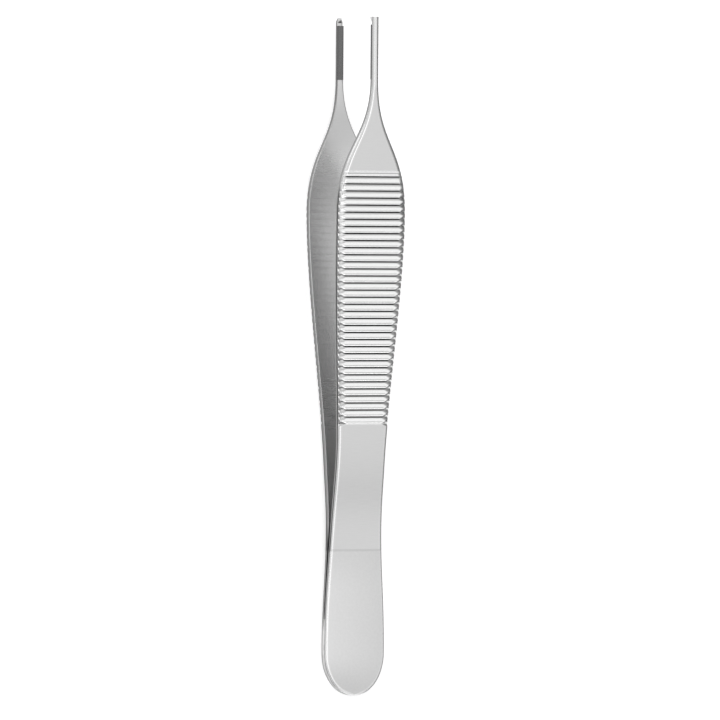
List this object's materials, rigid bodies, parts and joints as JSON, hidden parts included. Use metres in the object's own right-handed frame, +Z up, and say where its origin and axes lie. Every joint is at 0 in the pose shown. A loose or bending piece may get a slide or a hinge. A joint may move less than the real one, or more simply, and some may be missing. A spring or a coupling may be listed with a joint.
{
  "type": "thumb forceps",
  "caption": "Slim toothed tissue forceps: spring arms joined at the butt, ribbed thumb grips and narrow jaws with dark inlays, open at rest.",
  "frame": {"origin": "under the middle of the forceps, on the surface that it lies on", "axes": "+X along the length from the butt to the tips, +Y across the arms, +Z up; the forceps lies on the outer face of its lower arm, so the plane between the arms rises by 4.7 degrees towards the tips"},
  "size_m": [0.1204, 0.013, 0.0196],
  "materials": {
    "steel": "satin-brushed stainless steel, finely lined across the arms",
    "hard_metal": "dark grey sintered hard metal with a fine cross-hatched gripping face"
  },
  "bodies": {
    "root": {"upper_arm": "steel", "lower_arm": "steel", "upper_jaw_insert": "hard_metal", "lower_jaw_insert": "hard_metal"}
  },
  "joints": []
}
